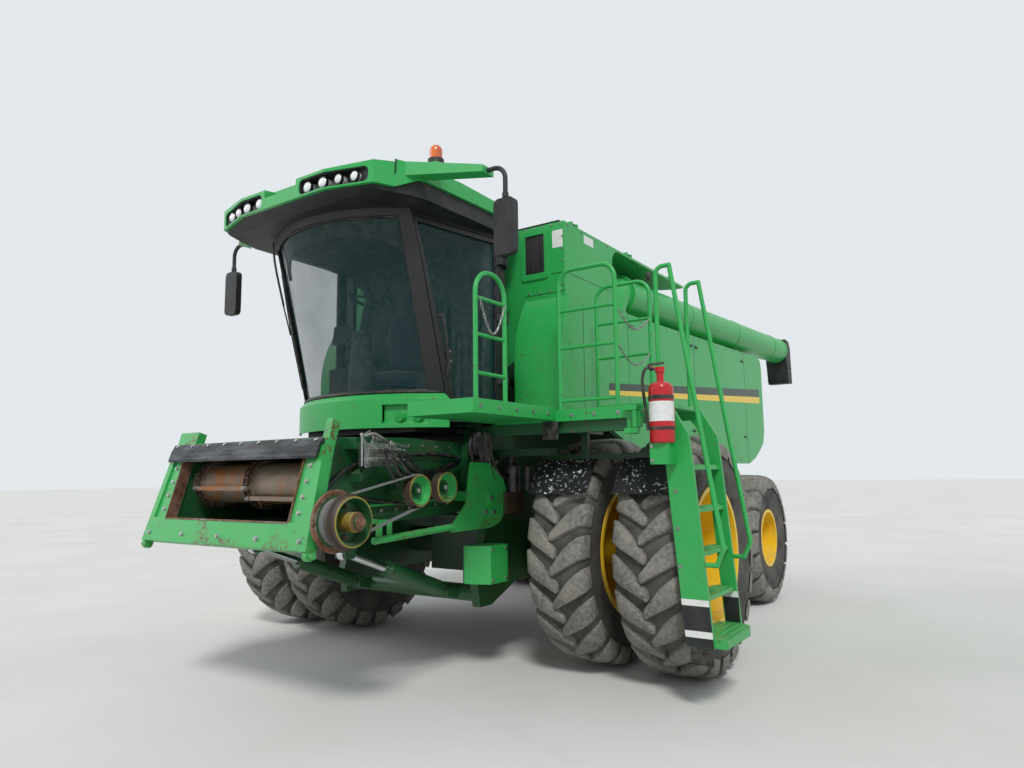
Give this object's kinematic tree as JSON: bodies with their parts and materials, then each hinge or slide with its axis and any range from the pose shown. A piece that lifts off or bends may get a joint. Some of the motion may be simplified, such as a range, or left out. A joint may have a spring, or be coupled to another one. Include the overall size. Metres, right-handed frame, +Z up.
{
  "type": "combine harvester",
  "caption": "Self-propelled combine harvester on dual front wheels, with raised feeder house, glazed cab, grain tank and folded unloading tube, no header",
  "frame": {"origin": "on the ground under the middle of the machine's overall box", "axes": "+X to the machine's left, +Y to its rear, +Z up"},
  "size_m": [5.464, 9.8308, 4.1152],
  "materials": {
    "green_paint": "gloss",
    "yellow_paint": "gloss",
    "black_paint": "satin",
    "black_plastic": "matte",
    "tyre_rubber": "matte",
    "flap_rubber": "matte",
    "bare_steel": "satin",
    "rusty_steel": "rough",
    "chromed_rod": "polished",
    "tinted_glass": "polished",
    "lamp_glass": "gloss",
    "amber_plastic": "gloss",
    "red_paint": "gloss",
    "seat_fabric": "matte"
  },
  "bodies": {
    "chassis": {"main_frame": "green_paint", "front_axle": "green_paint", "threshing_body": "green_paint", "cleaning_shoe": "green_paint", "straw_chopper": "green_paint", "rear_axle": "green_paint", "engine": "black_paint", "engine_deck": "green_paint", "rotary_screen": "black_paint", "exhaust": "bare_steel", "rear_hood": "green_paint", "side_shield_left": "green_paint", "side_shield_right": "green_paint", "front_panels": "green_paint", "grain_tank": "green_paint", "tank_window": "black_plastic", "cab_frame": "black_paint", "cab_apron": "green_paint", "cab_roof": "green_paint", "roof_liner": "black_paint", "roof_lamps": "lamp_glass", "beacon": "amber_plastic", "cab_glass": "tinted_glass", "driver_seat": "seat_fabric", "steering_column": "black_plastic", "mirrors": "black_plastic", "platform": "green_paint", "platform_rails": "green_paint"},
    "door": {"cab_door": "black_paint", "door_glass": "tinted_glass"},
    "boarding_ladder": {"ladder": "green_paint", "ladder_rails": "green_paint", "extinguisher": "red_paint"},
    "feeder": {"feeder_house": "green_paint", "feeder_face": "green_paint", "feeder_conveyor": "rusty_steel", "feeder_flap": "flap_rubber", "feeder_drive": "rusty_steel", "drive_belt": "flap_rubber", "feeder_guard": "green_paint", "coupler_block": "bare_steel"},
    "barrel_left": {"lift_barrel_left": "green_paint"},
    "barrel_right": {"lift_barrel_right": "green_paint"},
    "rod_left": {"lift_rod_left": "chromed_rod"},
    "rod_right": {"lift_rod_right": "chromed_rod"},
    "unloader": {"unloading_tube": "green_paint", "unloading_spout": "black_plastic"},
    "lid_left": {"tank_lid_left": "black_paint"},
    "lid_right": {"tank_lid_right": "black_paint"},
    "front_wheels_left": {"front_tyres_left": "tyre_rubber", "front_rims_left": "yellow_paint"},
    "front_wheels_right": {"front_tyres_right": "tyre_rubber", "front_rims_right": "yellow_paint"},
    "knuckle_left": {"steering_knuckle_left": "green_paint"},
    "knuckle_right": {"steering_knuckle_right": "green_paint"},
    "rear_wheel_left": {"rear_tyre_left": "tyre_rubber", "rear_rim_left": "yellow_paint"},
    "rear_wheel_right": {"rear_tyre_right": "tyre_rubber", "rear_rim_right": "yellow_paint"},
    "track_rod": {"tie_rod": "green_paint"}
  },
  "joints": [
    {"name": "front_wheels_left_spin", "type": "hinge", "parent": "chassis", "child": "front_wheels_left", "pos_m": [1.7145, -2.02253, 0.97], "axis": [1, 0, 0], "continuous": true},
    {"name": "steer_left", "type": "hinge", "parent": "chassis", "child": "knuckle_left", "pos_m": [1.0295, 1.57747, 0.796], "axis": [0, 0, 1], "range_deg": [-30, 30]},
    {"name": "rear_wheel_left_spin", "type": "hinge", "parent": "knuckle_left", "child": "rear_wheel_left", "pos_m": [1.4645, 1.57747, 0.796], "axis": [1, 0, 0], "continuous": true},
    {"name": "front_wheels_right_spin", "type": "hinge", "parent": "chassis", "child": "front_wheels_right", "pos_m": [-2.0855, -2.02253, 0.97], "axis": [1, 0, 0], "continuous": true},
    {"name": "steer_right", "type": "hinge", "parent": "chassis", "child": "knuckle_right", "pos_m": [-1.4005, 1.57747, 0.796], "axis": [0, 0, 1], "range_deg": [-30, 30]},
    {"name": "rear_wheel_right_spin", "type": "hinge", "parent": "knuckle_right", "child": "rear_wheel_right", "pos_m": [-1.8355, 1.57747, 0.796], "axis": [1, 0, 0], "continuous": true},
    {"name": "track_rod_swivel", "type": "hinge", "parent": "knuckle_left", "child": "track_rod", "pos_m": [1.0295, 1.90747, 0.736], "axis": [0, 0, 1], "range_deg": [-30, 30]},
    {"name": "feeder_lift", "type": "hinge", "parent": "chassis", "child": "feeder", "pos_m": [-0.1855, -2.97253, 1.72], "axis": [1, 0, 0], "range_deg": [-5, 18]},
    {"name": "lift_barrel_left_swing", "type": "hinge", "parent": "chassis", "child": "barrel_left", "pos_m": [0.3345, -3.05253, 0.66], "axis": [1, 0, 0], "range_deg": [-4.1, 14.76]},
    {"name": "lift_rod_left_slide", "type": "slide", "parent": "barrel_left", "child": "rod_left", "axis": [0, -0.9383, 0.3457], "range_m": [-0.3283, 0.09119]},
    {"name": "lift_barrel_right_swing", "type": "hinge", "parent": "chassis", "child": "barrel_right", "pos_m": [-0.7055, -3.05253, 0.66], "axis": [1, 0, 0], "range_deg": [-4.1, 14.76]},
    {"name": "lift_rod_right_slide", "type": "slide", "parent": "barrel_right", "child": "rod_right", "axis": [0, -0.9383, 0.3457], "range_m": [-0.3283, 0.09119]},
    {"name": "unloader_swing", "type": "hinge", "parent": "chassis", "child": "unloader", "pos_m": [1.0345, -1.30253, 3.4], "axis": [0, 0, -1], "range_deg": [0, 100]},
    {"name": "door_swing", "type": "hinge", "parent": "chassis", "child": "door", "pos_m": [0.8405, -2.83453, 2.9], "axis": [0, 0, 1], "range_deg": [0, 75]},
    {"name": "ladder_swing", "type": "hinge", "parent": "chassis", "child": "boarding_ladder", "pos_m": [2.1245, -3.05253, 2], "axis": [0, 0, -1], "range_deg": [0, 90]},
    {"name": "lid_left_fold", "type": "hinge", "parent": "chassis", "child": "lid_left", "pos_m": [1.2245, -1.17253, 3.892], "axis": [0, 1, 0], "range_deg": [0, 105]},
    {"name": "lid_right_fold", "type": "hinge", "parent": "chassis", "child": "lid_right", "pos_m": [-1.5955, -1.17253, 3.892], "axis": [0, -1, 0], "range_deg": [0, 105]}
  ],
  "couplings": [
    {"joint": "steer_right", "follows": "steer_left", "ratio": 1},
    {"joint": "track_rod_swivel", "follows": "steer_left", "ratio": -1},
    {"joint": "lift_barrel_left_swing", "follows": "feeder_lift", "ratio": 0.82},
    {"joint": "lift_rod_left_slide", "follows": "feeder_lift", "m_per_rad": -1.045},
    {"joint": "lift_barrel_right_swing", "follows": "feeder_lift", "ratio": 0.82},
    {"joint": "lift_rod_right_slide", "follows": "feeder_lift", "m_per_rad": -1.045}
  ]
}
